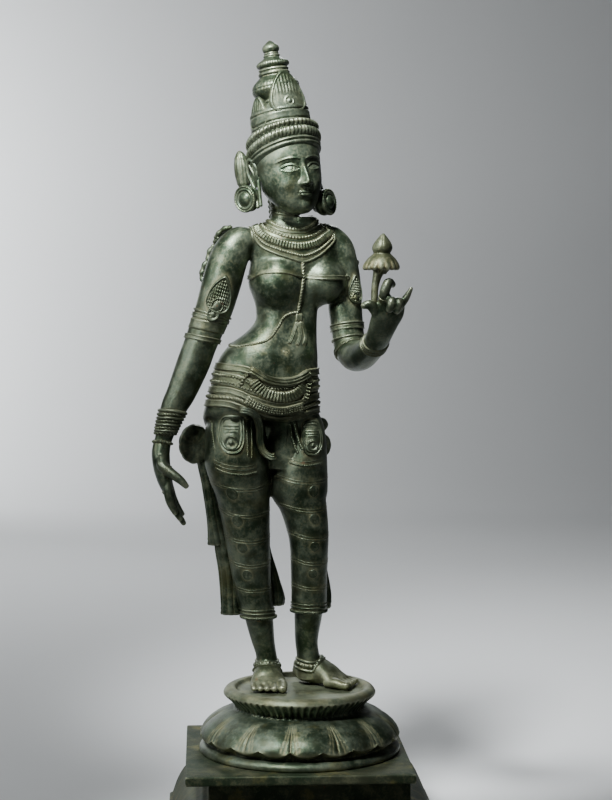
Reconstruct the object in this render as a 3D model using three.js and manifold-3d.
// Standing bronze goddess on a double lotus and a square plinth, millimetres, +Z up.
// The figure sways at neck, waist and hip, one hand hangs and the other holds a lotus bud.
import * as THREE from "three";
import { mergeVertices } from "three/addons/utils/BufferGeometryUtils.js";
import Module from "manifold-3d";

const wasm = await Module();
wasm.setup();

// Main sizes
const PLINTH_HEIGHT = 90;
const FIGURE_TURN = -3.1;
const CHEST_TURN = 18;
const LEVEL = new THREE.Vector3(0, 0, 1);
const PIECE_GAP = 0.3;

// Plinth: square slab over a recessed dado and a flaring foot
const SLAB_SIDE = 220;
const SLAB_THICK = 9;
const SLAB_OFFSET = -9;
const LOTUS_OFFSET = -5;
const DADO_HALF = 97;
const FOOT_PROFILE = [
  [-SLAB_THICK, DADO_HALF],
  [-30, DADO_HALF],
  [-32, 104],
  [-38, 114],
  [-46, 121],
  [-56, 127],
  [-68, 132],
  [-78, 135],
  [-80, 138],
  [-90, 138],
];

// Worn lumps on the slab: x, y, height, size
const CORNER_LUMPS = [
  [84, 97, 3, 9],
  [93, 96, 1, 8],
  [97, 88, -2, 7],
];

// Lotus pedestal: radius, height above the slab, petal swell and tooth length
const LOTUS_STEPS = 36;
const LOTUS_PETALS = 12;
const LOTUS_ROWS = [
  [103.5, 0.3, 0, 0],
  [104, 5, 0, 0],
  [92, 9.5, 0, 0],
  [94, 13, 7, 0],
  [98, 16, 5, 0],
  [96, 24, 3.5, 0],
  [88, 32, 2.5, 0],
  [76, 40, 1.5, 0],
  [66, 43, 0, 0],
  [72, 51, 0, 3],
  [76.5, 55, 0, 0],
  [75.5, 60, 0, 0],
  [68, 65, 0, 0],
  [62, 60, 0, 0],
];

// Body sections: height, x, y, half width, half depth
const TORSO = [
  [276, -32, 6, 34, 16],
  [284, -33, 5, 47, 24],
  [296, -36, 4, 57, 31],
  [311, -39.5, 4, 60.5, 38],
  [330, -41, 3, 59.5, 44],
  [361, -38.5, 2, 53.5, 42],
  [381, -36.5, 1, 50.5, 38],
  [396, -33.5, 0, 47, 34],
  [408, -30, 0, 40, 29.5],
  [418, -24, 0, 32, 26],
  [429, -18.5, 1, 27.5, 25],
  [441, -16, 2, 28.8, 25.5],
  [456, -12.5, 4, 36, 27],
  [465, -9.5, 6, 43, 28.5],
  [477, -5.5, 7, 47.5, 29.5],
  [489, -3.5, 7, 48, 30.5],
  [503, -4, 7, 50, 30],
  [513, -6, 6, 51, 27],
  [521, -9, 6, 45, 20],
  [528, -11, 6, 27, 15],
];
// Girdle over the hips: height at the sides, dip at the front, rise over the skin
const GIRDLE = [
  [341, 13, 0.6],
  [344, 14, 3],
  [352, 14, 3],
  [356, 14, 0.6],
  [359, 13, 2.4],
  [367, 12, 2.4],
  [370, 11, 0.6],
  [374, 10, 2.2],
  [381, 8, 0.4],
  [386, 7, 1.8],
  [391, 5, 0.3],
];
// Necklaces in the same columns
const NECKLACES = [
  [507, 12, 0.3],
  [509, 12, 2.6],
  [514, 10, 2.6],
  [516, 9, 0.4],
];
// Legs in the same columns, each turned about its own axis
const RIGHT_LEG_TURN = 8;
const LEFT_LEG_TURN = 24;
const RIGHT_LEG = [
  [332, -60, -4, 26, 30],
  [316, -61, -5, 32, 36],
  [296, -61.5, -6, 33.5, 37],
  [271, -59.5, -4, 29.8, 33],
  [251, -56, -2, 26.3, 29.5],
  [206, -51.5, 3, 22, 23.5],
  [159, -47, 12, 18.6, 20.5],
  [134, -42, 17, 17.2, 19],
  [131, -41.3, 17.5, 17.4, 19],
  [129.5, -41, 17.5, 14.6, 16.5],
  [107, -37.5, 21, 12.3, 13.5],
  [91, -34, 24, 10.8, 12],
  [80, -32.5, 25, 12, 14],
  [66, -32.5, 26, 12, 14],
];
const LEFT_LEG = [
  [330, -6, 12, 24, 28],
  [312, -4, 12, 28, 32],
  [281, -2, 10, 29.5, 33],
  [261, -1.5, 8, 29.5, 31],
  [251, 0, 7, 26, 29.5],
  [240, 4, 6, 22.8, 28],
  [224, 7.5, 4, 20.6, 25],
  [206, 9.5, 3, 18.9, 22],
  [145, 9.5, 17, 17.4, 19.5],
  [137, 9, 18, 17, 18.5],
  [135.5, 9, 18.3, 14.4, 16.2],
  [106, 7, 25, 11.7, 13],
  [90, 8.5, 27, 11.5, 13.5],
  [68, 8.5, 28, 11, 13],
];

// Rings on the legs: height, width of the ring, rise, dip at the front
const RIGHT_LEG_RINGS = [
  [82, 7, 2.4, 3],
  [133.5, 5, 1.6, 0],
  [292, 8, 2, 3],
];
const LEFT_LEG_RINGS = [
  [83, 7, 2.4, 4],
  [139, 5, 1.6, 2],
  [213, 9, 1.4, 2],
  [290, 8, 2, 3],
];

// Limb paths: x, y, z, half width, half depth
const RIGHT_ARM = [
  [-48, -8, 513, 12, 10],
  [-57, -11, 510, 15, 14],
  [-64, -12, 502, 18, 17.5],
  [-70, -13, 490, 19, 19],
  [-76, -13, 470, 19.5, 19.5],
  [-83, -13, 446, 18.6, 18],
  [-89, -13, 430, 17.6, 17],
  [-98, -14, 407, 16.4, 16],
  [-105, -15, 388, 16.4, 16],
  [-116, -18, 361, 14.6, 14],
  [-123.5, -20, 346, 13, 12.5],
  [-130, -22, 328, 10.5, 10],
  [-134, -23, 314, 8.6, 8.2],
  [-136.5, -25, 302, 9, 10.5],
  [-135.5, -27, 288, 9.2, 13.5],
  [-132.5, -29, 275, 8.4, 14.5],
  [-129, -30, 264, 6.2, 13.5],
];
const LEFT_ARM = [
  [24, 14, 515, 12, 10],
  [31, 17, 512, 14, 13],
  [37, 19, 503, 16.5, 17],
  [41.5, 19, 490, 16.2, 17],
  [45, 18, 470, 16, 16.5],
  [45.5, 15, 447, 17, 16.5],
  [47.5, 12, 425, 16.2, 16],
  [50, 8, 407, 16, 16],
  [54, -2, 397, 15.5, 16],
  [61, -20, 397, 15, 15],
  [68, -42, 403, 13.5, 12.5],
  [73.5, -60, 411, 13, 10.5],
  [77.5, -73, 420, 13.5, 8.5],
  [81, -79, 430, 15, 8.5],
  [85, -83, 440, 16.5, 8],
  [88, -84, 450, 12, 4.5],
];
// Rings on the arms: row index with a fraction, length and rise
const BANGLES = [0, 1, 2, 3, 4].map((k) => [9.9 + k * 0.34, 4.6, 1.8]);
const RIGHT_ARM_RINGS = [[4.9, 6, 2], [5.9, 5, 2], [6.9, 7, 2.4], ...BANGLES, [12, 3.6, 1.8]];
const LEFT_ARM_RINGS = [[4.8, 5, 2], [5.6, 5, 2], [6.6, 6, 2.2], [10.6, 3.6, 1.8]];
// Fingers and thumbs: x, y, z, radius
const RIGHT_FINGERS = [
  [[-128.5, -40, 266, 4.6], [-127, -41, 254, 4.2], [-122, -40, 243, 2.4]],
  [[-128.5, -33, 264, 4.8], [-125, -34, 251, 4.4], [-117, -34, 236.5, 2.4]],
  [[-128.5, -26, 264, 4.8], [-124, -26, 250, 4.4], [-114, -26, 231, 2.4]],
  [[-128.5, -19.5, 266, 4.4], [-125, -19, 255, 4], [-116, -17, 239, 2.4]],
];
const RIGHT_THUMB = [[-134, -38, 291, 5.6], [-126, -43, 284, 5.2], [-110, -47, 270, 2.8]];
const LEFT_FINGERS = [
  [[80, -86, 449, 4.8], [81, -95, 459, 5], [85, -92, 469, 4.8], [89, -86, 465, 3.6]],
  [[86, -87, 450, 4.8], [87, -97, 452, 4.8], [85, -97, 443, 3.6]],
  [[92, -86, 448, 4.6], [94, -96, 450, 4.6], [92, -96, 441, 3.4]],
  [[94, -84, 444, 4.4], [99, -89, 450, 4.2], [106, -92, 462, 1.8]],
];
const LEFT_THUMB = [[77, -82, 438, 5.6], [69, -89, 447, 5.2], [60.5, -90, 446, 3.4]];

// Feet: x, y, z, half width, half height, each pointing its own way
const RIGHT_FOOT_TURN = 4;
const LEFT_FOOT_TURN = 62;
const RIGHT_FOOT = [
  [-33, 44, 70, 7, 8],
  [-33, 37, 72.5, 11, 12],
  [-33, 24, 75, 13, 15],
  [-32.5, 8, 72, 15, 11.5],
  [-31.5, -4, 68, 18.5, 7.8],
  [-30.5, -12, 65.5, 19, 5.4],
];
const LEFT_FOOT = [
  [-1, 44, 70, 7, 8],
  [3, 39, 72.5, 11, 12],
  [13, 31, 75, 13, 15],
  [27, 22, 72, 15, 11.5],
  [38, 15, 68, 18, 7.8],
  [45, 11, 65.5, 18.5, 5.4],
];
const TOE_SPREAD = [-15.5, -9, -2, 5, 13.5];
const TOE_SIZE = [3.6, 3.9, 4.1, 4.4, 5.8];
const TOE_LENGTH = 7;
const TOE_HEIGHT = 65;

// Head: own frame, origin at its middle, facing -Y, height, y, half width, half depth
const HEAD_PLACE = [-12, -3, 574];
const HEAD_TURN = 27;
const HEAD_LEAN = -7.5;
const HEAD = [
  [-38, -19, 7, 7],
  [-35, -17, 13, 12],
  [-29, -13, 20, 19],
  [-20, -8, 26, 27],
  [-10, -5, 30, 32],
  [4, -3, 32.5, 35.5],
  [18, -1, 33, 36],
  [34, 0, 30, 32],
];
// Neck in the torso's columns
const NECK = [
  [518, -12, 6, 20, 17],
  [527, -13, 5, 16.5, 15],
  [538, -14, 3, 14.6, 14],
  [550, -15, 1, 14.6, 14.5],
  [562, -15, 0, 16, 17],
];
// Breasts: across and ahead of the chest's middle, height, radius
const BREAST_HIGH = 1.08;
const BREASTS = [
  [-21, 11, 466, 22.5],
  [21.5, 10, 466, 21],
];

// Face and ears in the head's frame
const NOSE = [
  [0, -35, 6, 3, 2.5],
  [0, -38.5, -2, 3.6, 3.4],
  [0, -41.5, -8, 4.8, 4],
  [0, -39, -13, 5.6, 3],
];
const BROW = [
  [4, -35.5, 9, 1.6],
  [12, -34.5, 12.5, 1.8],
  [21, -28.5, 11, 1.6],
];
const EAR = [
  [33, 3, 20, 9, 8],
  [36, 4, 8, 8, 6],
  [35, 2, -12, 4, 3.6],
  [36, -2, -24, 3.5, 3.5],
];
const EYE = { place: [13, -31.5, 4], radii: [8, 5, 3.4], turn: 14 };
const LIPS = [
  { place: [0, -35, -20.5], radii: [8, 4.4, 2.6] },
  { place: [0, -33.6, -25], radii: [6.4, 4.4, 2.8] },
];
const EAR_FLOWER = { place: [39, 19, 9], radii: [8, 8, 20] };

// Crown leaves: turn, width, height, distance from the axis
const LEAF_FOOT = 52;
const LEAF_THICK = 5;
const LEAF_NOD = -14;
const CROWN_LEAVES = [
  [0, 30, 44, 28],
  [90, 20, 26, 29],
  [-90, 20, 26, 29],
  [180, 24, 30, 28],
];

// Drum earrings: place, facing
const DRUM_RADIUS = 13.5;
const DRUM_LENGTH = 17;
const DRUMS = [
  [[-54, -16, 550], [-0.6, -0.78, -0.1]],
  [[30, -2, 548], [0.86, -0.5, 0.1]],
];

// Cords on the chest: angle from the front in degrees and height, with the cord's radius
const CHEST_CORDS = [
  [2.2, [[-100, 472], [-60, 476], [-25, 479], [0, 475], [30, 472], [70, 472], [100, 472]]],
  [1.6, [[4, 496], [2, 470], [3, 448], [3, 434]]],
  [2, [[3, 438], [-22, 426], [-38, 412], [-60, 407], [-90, 404]]],
];
const WAIST_ROLLS = [
  [4.4, [[-52, 384], [-25, 372], [0, 365], [30, 372], [55, 380]]],
  [6, [[-30, 356], [0, 351], [34, 357]]],
];
const RIGHT_THIGH_LOOPS = [
  [2.4, [[-42, 336], [-40, 308], [-22, 299], [2, 300], [14, 312], [14, 338]]],
  [3.2, [[34, 344], [40, 330], [42, 305], [52, 296]]],
];
const LEFT_THIGH_LOOPS = [
  [2.4, [[-38, 328], [-36, 306], [-18, 294], [4, 296], [12, 310], [12, 326]]],
];
const THIGH_DISC = { angle: -12, z: 309, radii: [7.5, 5, 7.5] };

// Armlet leaves: width, height, place, turn, lean, nod
const ARM_LEAVES = [
  [24, 32, [-86, -31, 434], 8, 16, 4],
  [16, 30, [54, 0, 436], 30, -6, 0],
];
const ARM_LEAF_THICK = 5;

// Lotus bud: stem as x, y, z, radius and bud as z, x, y, half width, half depth
const BUD_STEM = [
  [71, -87, 446, 3.2],
  [71.5, -87, 462, 3.4],
  [73, -87, 478, 4.2],
  [76, -86, 483, 6],
];
const BUD = [
  [479, 77, -86, 6, 6],
  [480, 77, -86, 14.5, 14.5],
  [484, 77, -86, 15.5, 15.5],
  [491, 78, -86, 12, 12],
  [496, 78, -86, 8.4, 8.4],
  [501, 78.5, -86, 8.8, 8.8],
  [508, 79, -86, 5.6, 5.6],
  [514, 79.5, -86, 1, 1],
];

// Side bows: place, radii, turn
const BOWS = [
  [[-105, 6, 307], [17, 9, 21], 10],
  [[20, 22, 324], [10, 10, 8], 20],
  [[24, 22, 304], [10, 10, 12], 20],
];
// Hanging sashes and folds: z, x, y, half width, half depth
const SIDE_SASH = [
  [296, -97, 12, 7, 6],
  [263, -91.5, 15, 6, 6],
  [231, -85, 16, 8.5, 7],
  [208, -82, 17, 10.5, 7],
  [205, -77, 17, 9, 7],
  [143, -70, 20, 10, 8],
  [133, -69, 20, 10.5, 8],
];
const RIGHT_FOLD = [
  [200, -34, 20, 4, 5],
  [172, -30, 24, 8, 6],
  [148, -25, 26, 11, 6],
  [142, -26, 26, 9, 5],
];
const LEFT_FOLD = [
  [190, 22, 22, 5, 5],
  [150, 24, 26, 8.5, 6],
  [139, 22, 26, 8, 5],
];

// Locks of hair: places on the shoulder, and strands from the nape to the back
const SHOULDER_LOCKS = [
  [-68, 4, 518],
  [-87, 2, 499],
  [-92, 2, 478],
];
const LOCK_RADII = [6, 6, 8];
const NAPE_LOCKS = [-2, -1, 0, 1, 2];
const NAPE_HEIGHT = 558;
const NAPE_FOOT = 508;

// Crown: height over the head's middle, radius, share of the brow's backward slope
const CROWN_SLOPE = 0.36;
const CROWN_STEPS = 12;
const CROWN = [
  [14, 32, 1],
  [17, 36.5, 1],
  [23, 34, 1],
  [26, 37, 1],
  [32, 36.5, 1],
  [35, 34, 0.9],
  [41, 33.5, 0.85],
  [46, 28, 0.5],
  [52, 29.5, 0.4],
  [64, 27.5, 0.25],
  [70, 20, 0.2],
  [77, 20, 0.2],
  [86, 23, 0.2],
  [95, 16, 0.2],
  [100, 15, 0.2],
  [103, 13.5, 0.2],
  [108, 16, 0.2],
  [115, 8.5, 0.2],
  [124, 8, 0.1],
  [132, 1.2, 0],
];

// Interpolates rows of numbers with a smooth curve, steps rows from each span
function smooth(rows, steps) {
  const out = [];
  for (let i = 0; i < rows.length - 1; i++) {
    const p0 = rows[Math.max(i - 1, 0)];
    const p1 = rows[i];
    const p2 = rows[i + 1];
    const p3 = rows[Math.min(i + 2, rows.length - 1)];
    for (let k = 0; k < steps; k++) {
      const t = k / steps;
      out.push(p1.map((v, j) => {
        const a = 2 * v;
        const b = p2[j] - p0[j];
        const c = 2 * p0[j] - 5 * v + 4 * p2[j] - p3[j];
        const d = 3 * v - p0[j] - 3 * p2[j] + p3[j];
        return 0.5 * (a + b * t + c * t * t + d * t * t * t);
      }));
    }
  }
  out.push(rows[rows.length - 1]);
  return out;
}

// Row of a table at a height, straight between its neighbours
function rowAt(rows, key, value) {
  const up = rows[rows.length - 1][key] > rows[0][key];
  const list = up ? rows : [...rows].reverse();
  let i = 0;
  while (i < list.length - 2 && list[i + 1][key] < value) i++;
  const span = list[i + 1][key] - list[i][key];
  const t = Math.min(Math.max((value - list[i][key]) / span, 0), 1);
  return list[i].map((v, j) => v + (list[i + 1][j] - v) * t);
}

// Closed skin over rings of points, each end closed by a fan
function skin(rings) {
  const n = rings[0].length;
  const points = rings.flat();
  const faces = [];
  for (let i = 0; i < rings.length - 1; i++) {
    for (let k = 0; k < n; k++) {
      const a = i * n + k;
      const b = i * n + (k + 1) % n;
      faces.push(a, b, b + n, a, b + n, a + n);
    }
  }
  const middle = (ring) => ring.reduce((m, p) => m.add(p), new THREE.Vector3()).multiplyScalar(1 / n);
  const first = points.push(middle(rings[0])) - 1;
  const last = points.push(middle(rings[rings.length - 1])) - 1;
  const top = (rings.length - 1) * n;
  for (let k = 0; k < n; k++) {
    faces.push(first, (k + 1) % n, k);
    faces.push(last, top + k, top + (k + 1) % n);
  }
  return new THREE.BufferGeometry().setFromPoints(points).setIndex(faces);
}

// Solid of a closed geometry, turned outwards where its rings ran the other way
function solid(geometry) {
  const bare = geometry.clone();
  bare.deleteAttribute("normal");
  bare.deleteAttribute("uv");
  const merged = mergeVertices(bare, 1e-4);
  const tris = new Uint32Array(merged.index.array);
  const make = () => new wasm.Manifold(new wasm.Mesh({
    numProp: 3,
    vertProperties: merged.attributes.position.array,
    triVerts: tris,
  }));
  const made = make();
  if (made.volume() > 0) return made;
  for (let i = 0; i < tris.length; i += 3) [tris[i + 1], tris[i + 2]] = [tris[i + 2], tris[i + 1]];
  return make();
}

// Sum of a list of solids
function joined(solids) {
  return solids.reduce((sum, s) => sum.add(s));
}

// Largest closed body of a solid, its hollows filled
function filled(s) {
  return s.decompose().reduce((best, body) => (body.volume() > best.volume() ? body : best));
}

// Level rings with a turned side direction, rows of height, x, y, half width, half depth
function levelLoft(rows, turn, n, steps = 1) {
  const angle = THREE.MathUtils.degToRad(turn);
  const side = new THREE.Vector3(Math.cos(angle), Math.sin(angle), 0);
  const deep = new THREE.Vector3(-Math.sin(angle), Math.cos(angle), 0);
  const rings = smooth(rows, steps).map(([z, x, y, a, b]) => {
    const ring = [];
    for (let k = 0; k < n; k++) {
      const t = (k / n) * 2 * Math.PI;
      ring.push(new THREE.Vector3(x, y, z)
        .addScaledVector(side, a * Math.cos(t))
        .addScaledVector(deep, b * Math.sin(t)));
    }
    return ring;
  });
  return solid(skin(rings));
}

// Rings square to a path, rows of x, y, z, half width, half depth; wide is the width direction
function pathLoft(rows, wide, n, steps = 1) {
  const fine = smooth(rows, steps);
  const at = fine.map((r) => new THREE.Vector3(r[0], r[1], r[2]));
  const rings = fine.map((row, i) => {
    const along = at[Math.min(i + 1, at.length - 1)].clone().sub(at[Math.max(i - 1, 0)]).normalize();
    const side = wide.clone().addScaledVector(along, -wide.dot(along)).normalize();
    const deep = new THREE.Vector3().crossVectors(along, side);
    const ring = [];
    for (let k = 0; k < n; k++) {
      const t = (k / n) * 2 * Math.PI;
      ring.push(at[i].clone()
        .addScaledVector(side, row[3] * Math.cos(t))
        .addScaledVector(deep, (row[4] ?? row[3]) * Math.sin(t)));
    }
    return ring;
  });
  return solid(skin(rings));
}

// Ball or egg at a place
function egg(place, radii, turn = 0, across = 8, down = 5) {
  const g = new THREE.SphereGeometry(1, across, down);
  g.scale(...radii);
  g.rotateZ(THREE.MathUtils.degToRad(turn));
  g.translate(...place);
  return solid(g);
}

const RIGHTWARD = new THREE.Vector3(1, 0, 0);
const BACKWARD = new THREE.Vector3(0, 1, 0);
const CHEST_ANGLE = THREE.MathUtils.degToRad(CHEST_TURN);
const CHEST_SIDE = new THREE.Vector3(Math.cos(CHEST_ANGLE), Math.sin(CHEST_ANGLE), 0);
const CHEST_FRONT = new THREE.Vector3(Math.sin(CHEST_ANGLE), -Math.cos(CHEST_ANGLE), 0);

// Middle of a breast: offsets across and ahead of the chest
function breastPlace([across, ahead, z]) {
  const row = rowAt(TORSO, 0, z);
  return new THREE.Vector3(row[1], row[2], z)
    .addScaledVector(CHEST_SIDE, across)
    .addScaledVector(CHEST_FRONT, ahead);
}

// Point on a level-lofted limb at an angle from its front, lifted off the skin
function onLimb(rows, turn, z, degrees, lift, balls = []) {
  const [, x, y, a, b] = rowAt(rows, 0, z);
  const t = THREE.MathUtils.degToRad(turn);
  const w = THREE.MathUtils.degToRad(degrees);
  const side = new THREE.Vector3(Math.cos(t), Math.sin(t), 0);
  const front = new THREE.Vector3(Math.sin(t), -Math.cos(t), 0);
  const out = side.clone().multiplyScalar(Math.sin(w)).addScaledVector(front, Math.cos(w));
  let reach = 1 / Math.hypot(Math.sin(w) / a, Math.cos(w) / b);
  const middle = new THREE.Vector3(x, y, z);
  for (const [place, radius] of balls) {
    const from = middle.clone().sub(place);
    const half = from.dot(out);
    const under = half * half - from.lengthSq() + radius * radius;
    if (under > 0) reach = Math.max(reach, -half + Math.sqrt(under));
  }
  return middle.addScaledVector(out, reach + lift);
}

// Rounded cord through points, closed round or with two ends
function cord(points, radius, sides = 3, height = radius) {
  const n = points.length;
  const round = points[0].distanceTo(points[n - 1]) < 1e-6;
  const list = round ? points.slice(0, -1) : points;
  const m = list.length;
  const rings = list.map((p, i) => {
    const next = round ? list[(i + 1) % m] : list[Math.min(i + 1, m - 1)];
    const prev = round ? list[(i + m - 1) % m] : list[Math.max(i - 1, 0)];
    const along = next.clone().sub(prev).normalize();
    const up = LEVEL.clone().addScaledVector(along, -along.z);
    if (up.lengthSq() < 1e-3) up.copy(RIGHTWARD);
    up.normalize();
    const out = new THREE.Vector3().crossVectors(along, up);
    return Array.from({ length: sides }, (_, k) => {
      const t = ((k + 0.5) / sides) * 2 * Math.PI;
      return p.clone().addScaledVector(up, height * Math.cos(t)).addScaledVector(out, radius * Math.sin(t));
    });
  });
  if (!round) return solid(skin(rings));
  const flat = rings.flat();
  const faces = [];
  for (let i = 0; i < m; i++) {
    for (let k = 0; k < sides; k++) {
      const a = i * sides + k;
      const b = i * sides + (k + 1) % sides;
      const c = ((i + 1) % m) * sides + k;
      const d = ((i + 1) % m) * sides + (k + 1) % sides;
      faces.push(a, b, d, a, d, c);
    }
  }
  return solid(new THREE.BufferGeometry().setFromPoints(flat).setIndex(faces));
}

// Rows of a path with raised rings added, each ring a row index with a fraction, a length and a rise
function ringed(rows, rings) {
  const out = rows.map((row, i) => [i, row]);
  for (const [at, length, rise] of rings) {
    const i = Math.min(Math.floor(at), rows.length - 2);
    const from = new THREE.Vector3(...rows[i].slice(0, 3));
    const span = from.distanceTo(new THREE.Vector3(...rows[i + 1].slice(0, 3)));
    for (const [share, grow] of [[-0.5, 0], [0, rise]]) {
      const t = at - i + (share * length) / span;
      const row = rows[i].map((v, j) => v + (rows[i + 1][j] - v) * t);
      out.push([i + t, [row[0], row[1], row[2], row[3] + grow, row[4] + grow]]);
    }
    for (let k = rows.length - 1; k > 0; k--) {
      const place = out.findIndex(([key, row]) => (
        row === rows[k] && Math.abs(key - at) * span < length * 0.5
      ));
      if (place >= 0) out.splice(place, 1);
    }
  }
  return out.sort((a, b) => a[0] - b[0]).map(([, row]) => row);
}

const breastBalls = BREASTS.map((b) => [breastPlace(b), b[3]]);

// Cord on the torso through angle and height pairs
function bodyCord(stops, radius, lift, steps = 2, rows = TORSO, turn = CHEST_TURN) {
  const points = smooth(stops, steps).map(([deg, z]) => onLimb(rows, turn, z, deg, lift, breastBalls));
  return cord(points, radius);
}

// Level-lofted limb whose rings dip at the front and rise over the skin, from height, dip and rise rows
function wrapped(rows, turn, n, slices) {
  const rings = slices.map(([z, dip, rise]) => (
    Array.from({ length: n }, (_, k) => {
      const degrees = 90 - (k / n) * 360;
      const drop = dip * Math.max(Math.cos(THREE.MathUtils.degToRad(degrees)), 0) ** 2;
      return onLimb(rows, turn, z - drop, degrees, rise);
    })
  ));
  return solid(skin(rings));
}

// Plain slices of a table outside a band of heights, together with the slices of the band
function sliced(rows, bands) {
  const inside = (z) => bands.some((band) => z > band[0][0] - 1 && z < band[band.length - 1][0] + 1);
  const plain = rows.filter((row) => !inside(row[0])).map((row) => [row[0], 0, 0]);
  return [...plain, ...bands.flat()].sort((a, b) => a[0] - b[0]);
}

// Slices of one raised ring round a limb
function ring(z, height, rise, dip = 0) {
  return [
    [z - height / 2, dip, 0],
    [z - height / 4, dip, rise],
    [z + height / 4, dip, rise],
    [z + height / 2, dip, 0],
  ];
}

// Plate cut to an outline, thickness along Y, then placed
function plate(outline, thick, place, turn = 0, lean = 0, nod = 0) {
  const shape = new THREE.Shape(outline.map(([x, y]) => new THREE.Vector2(x, y)));
  const g = new THREE.ExtrudeGeometry(shape, { depth: thick, bevelEnabled: false, curveSegments: 6 });
  g.translate(0, 0, -thick / 2);
  g.rotateX(Math.PI / 2);
  g.rotateX(THREE.MathUtils.degToRad(nod));
  g.rotateY(THREE.MathUtils.degToRad(lean));
  g.rotateZ(THREE.MathUtils.degToRad(turn));
  g.translate(...place);
  return solid(g);
}

// Leaf outline with a pointed tip
function leaf(width, height) {
  const half = width / 2;
  const side = [[1, 0], [0.95, 0.4], [0.45, 0.78]];
  const right = side.map(([x, y]) => [x * half, y * height]);
  const left = [...right].reverse().map(([x, y]) => [-x, y]);
  return [...right, [0, height], ...left];
}

// Fingers as tapering tubes
function fingers(list) {
  return list.map((rows) => pathLoft(rows, BACKWARD, 4));
}

// Foot with five toes spread across its front
function foot(sections, turn, mirror) {
  const t = THREE.MathUtils.degToRad(turn);
  const ahead = new THREE.Vector3(Math.sin(t), -Math.cos(t), 0);
  const across = new THREE.Vector3(Math.cos(t), Math.sin(t), 0);
  const solids = [pathLoft(sections, across, 8)];
  const tip = new THREE.Vector3(...sections[sections.length - 1].slice(0, 2), 0);
  TOE_SPREAD.forEach((spread, i) => {
    const size = TOE_SIZE[i];
    const root = tip.clone().addScaledVector(across, spread * mirror).addScaledVector(ahead, -size);
    const reach = TOE_LENGTH + i * 1.2;
    const row = (go, grow, z) => [
      root.x + ahead.x * go,
      root.y + ahead.y * go,
      z,
      size * grow,
      size * grow,
    ];
    const rows = [row(-3, 0.9, TOE_HEIGHT), row(reach, 1, TOE_HEIGHT), row(reach + 3, 0.6, TOE_HEIGHT - 1)];
    solids.push(pathLoft(rows, across, 4));
  });
  return joined(solids);
}

// Head, ears and crown in the head's own frame, then placed
function headGroup() {
  const solids = [levelLoft(HEAD.map(([z, y, a, b]) => [z, 0, y, a, b]), 0, 16)];
  solids.push(pathLoft(NOSE, RIGHTWARD, 6));
  const mirrored = (rows, sign) => rows.map(([x, ...rest]) => [x * sign, ...rest]);
  for (const sign of [-1, 1]) {
    solids.push(egg([EYE.place[0] * sign, ...EYE.place.slice(1)], EYE.radii, -EYE.turn * sign, 6, 4));
    solids.push(pathLoft(mirrored(BROW, sign), LEVEL, 3));
    solids.push(pathLoft(mirrored(EAR, sign), BACKWARD, 6));
    const flower = [EAR_FLOWER.place[0] * sign, ...EAR_FLOWER.place.slice(1)];
    solids.push(egg(flower, EAR_FLOWER.radii, 0, 6, 5));
  }
  for (const lip of LIPS) solids.push(egg(lip.place, lip.radii, 0, 6, 4));
  const rings = CROWN.map(([h, r, share]) => Array.from({ length: CROWN_STEPS }, (_, k) => {
    const t = (k / CROWN_STEPS) * 2 * Math.PI;
    const rise = -CROWN_SLOPE * share * r * Math.sin(t);
    return new THREE.Vector3(r * Math.cos(t), r * Math.sin(t), h + rise);
  }));
  solids.push(solid(skin(rings)));
  for (const [turn, width, height, out] of CROWN_LEAVES) {
    const t = THREE.MathUtils.degToRad(turn);
    const place = [Math.sin(t) * out, -Math.cos(t) * out, LEAF_FOOT];
    solids.push(plate(leaf(width, height), LEAF_THICK, place, turn, 0, LEAF_NOD));
  }
  const group = joined(solids);
  const place = new THREE.Matrix4().makeTranslation(...HEAD_PLACE)
    .multiply(new THREE.Matrix4().makeRotationY(THREE.MathUtils.degToRad(HEAD_LEAN)))
    .multiply(new THREE.Matrix4().makeRotationZ(THREE.MathUtils.degToRad(HEAD_TURN)));
  return group.transform(place.elements);
}

// Drum earring: stepped disc facing a direction
function drum(place, facing) {
  const dir = new THREE.Vector3(...facing).normalize();
  const row = (go, r) => [place[0] + dir.x * go, place[1] + dir.y * go, place[2] + dir.z * go, r, r];
  return pathLoft([
    row(-DRUM_LENGTH, DRUM_RADIUS * 0.62),
    row(-DRUM_LENGTH * 0.6, DRUM_RADIUS * 0.95),
    row(0, DRUM_RADIUS),
    row(0.6, DRUM_RADIUS * 0.6),
    row(3, DRUM_RADIUS * 0.36),
    row(4, DRUM_RADIUS * 0.1),
  ], LEVEL, 10);
}

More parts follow.
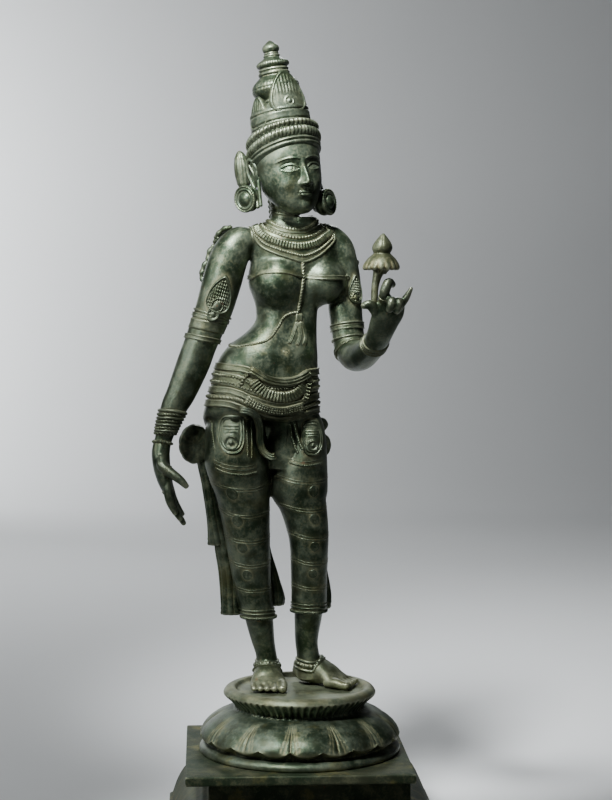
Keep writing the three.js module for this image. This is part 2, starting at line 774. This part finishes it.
// The goddess with the bud in her hand, one casting
function figure() {
  const solids = [];
  const leg = (rows, turn, rings) => wrapped(rows, turn, 10, sliced(rows, rings.map((r) => ring(...r))));
  solids.push(wrapped(TORSO, CHEST_TURN, 14, sliced(TORSO, [GIRDLE, NECKLACES])));
  solids.push(leg(RIGHT_LEG, RIGHT_LEG_TURN, RIGHT_LEG_RINGS));
  solids.push(leg(LEFT_LEG, LEFT_LEG_TURN, LEFT_LEG_RINGS));
  solids.push(levelLoft(NECK, CHEST_TURN, 12));
  for (const b of BREASTS) {
    solids.push(egg(breastPlace(b).toArray(), [b[3], b[3], b[3] * BREAST_HIGH], 0, 12, 7));
  }
  solids.push(pathLoft(ringed(RIGHT_ARM, RIGHT_ARM_RINGS), RIGHTWARD, 8));
  solids.push(pathLoft(ringed(LEFT_ARM, LEFT_ARM_RINGS), CHEST_SIDE, 8));
  solids.push(...fingers([...RIGHT_FINGERS, RIGHT_THUMB, ...LEFT_FINGERS, LEFT_THUMB]));
  solids.push(foot(RIGHT_FOOT, RIGHT_FOOT_TURN, 1));
  solids.push(foot(LEFT_FOOT, LEFT_FOOT_TURN, -1));
  solids.push(headGroup());
  for (const [place, facing] of DRUMS) solids.push(drum(place, facing));

  // Cords, rolls and loops laid on the body
  for (const [radius, stops] of CHEST_CORDS) solids.push(bodyCord(stops, radius, 0.3, 1));
  for (const [radius, stops] of WAIST_ROLLS) solids.push(bodyCord(stops, radius, 0.5, 1));
  for (const [radius, stops] of RIGHT_THIGH_LOOPS) {
    solids.push(bodyCord(stops, radius, 0.2, 1, RIGHT_LEG, RIGHT_LEG_TURN));
  }
  for (const [radius, stops] of LEFT_THIGH_LOOPS) {
    solids.push(bodyCord(stops, radius, 0.2, 1, LEFT_LEG, LEFT_LEG_TURN));
  }
  const disc = onLimb(RIGHT_LEG, RIGHT_LEG_TURN, THIGH_DISC.z, THIGH_DISC.angle, -1);
  solids.push(egg(disc.toArray(), THIGH_DISC.radii, THIGH_DISC.angle));

  // Leaves over the armlets, and the lotus bud
  for (const [width, height, place, turn, lean, nod] of ARM_LEAVES) {
    solids.push(plate(leaf(width, height), ARM_LEAF_THICK, place, turn, lean, nod));
  }
  solids.push(pathLoft(BUD_STEM, RIGHTWARD, 6));
  solids.push(levelLoft(BUD, 0, 10));

  // Side bows, hanging sashes and folds behind the shins
  for (const [place, radii, turn] of BOWS) solids.push(egg(place, radii, turn, 7, 5));
  for (const [rows, turn] of [[SIDE_SASH, 8], [RIGHT_FOLD, 12], [LEFT_FOLD, 24]]) {
    solids.push(levelLoft(rows, turn, 6));
  }

  // Locks of hair on the shoulder and the nape
  for (const place of SHOULDER_LOCKS) solids.push(egg(place, LOCK_RADII, 0, 5, 4));
  for (const k of NAPE_LOCKS) {
    const out = onLimb(TORSO, CHEST_TURN, NAPE_FOOT, 180 + k * 11, 0);
    const top = onLimb(NECK, CHEST_TURN, NAPE_HEIGHT, 180 + k * 20, 10);
    solids.push(cord([top, out], 5.5, 4));
  }
  return joined(solids);
}

// Double lotus: petals swell round the lower bowl and teeth hang from the rim
function lotus() {
  const rings = LOTUS_ROWS.map(([r, z, swell, tooth]) => Array.from({ length: LOTUS_STEPS }, (_, k) => {
    const t = (k / LOTUS_STEPS) * 2 * Math.PI;
    const petal = Math.abs(Math.cos((t * LOTUS_PETALS) / 2));
    const reach = r + swell * (petal - 0.5);
    return new THREE.Vector3(reach * Math.cos(t), reach * Math.sin(t), z - (k % 2) * tooth);
  }));
  return solid(skin(rings));
}

// Slab, recessed dado and flaring foot, with the worn lumps at the slab's back corner
function plinth() {
  const slab = new THREE.BoxGeometry(SLAB_SIDE, SLAB_SIDE, SLAB_THICK);
  slab.translate(SLAB_OFFSET, 0, -SLAB_THICK / 2);
  const rings = FOOT_PROFILE.map(([z, half]) => [[-1, -1], [1, -1], [1, 1], [-1, 1]]
    .map(([x, y]) => new THREE.Vector3(x * half, y * half, z)));
  rings.unshift(rings[0].map((p) => p.clone().setZ(-SLAB_THICK / 2)));
  const lumps = CORNER_LUMPS.map(([x, y, z, size]) => egg([x, y, z], [size, size, size]));
  return joined([solid(slab), solid(skin(rings)), ...lumps]);
}

// Geometry of a finished solid
function geometryOf(s) {
  const m = s.getMesh();
  const v = new Float32Array(m.numVert * 3);
  for (let i = 0; i < m.numVert; i++) {
    v.set(m.vertProperties.subarray(i * m.numProp, i * m.numProp + 3), i * 3);
  }
  return new THREE.BufferGeometry()
    .setAttribute("position", new THREE.BufferAttribute(v, 3))
    .setIndex(new THREE.BufferAttribute(m.triVerts, 1));
}

// Named mesh with its own finish
function part(name, s, color, roughness) {
  const finish = new THREE.MeshStandardMaterial({ color, roughness, metalness: 0.8 });
  const mesh = new THREE.Mesh(geometryOf(s), finish);
  mesh.name = name;
  mesh.geometry.computeVertexNormals();
  return mesh;
}

// The three pieces, the figure and its lotus turned a little on the plinth
const group = new THREE.Group();
group.name = "goddess_statue";
group.position.z = PLINTH_HEIGHT;
const upper = new THREE.Group();
upper.rotation.z = THREE.MathUtils.degToRad(FIGURE_TURN);
upper.position.x = LOTUS_OFFSET;
const lotusSolid = lotus();
const figureSolid = filled(filled(figure()).subtract(lotusSolid.translate([0, 0, PIECE_GAP])));
upper.add(part("figure", figureSolid, 0x3c463a, 0.42));
upper.add(part("lotus_pedestal", lotusSolid, 0x4a5244, 0.5));
group.add(upper);
group.add(part("square_plinth", plinth(), 0x3a3f30, 0.55));

export default group;
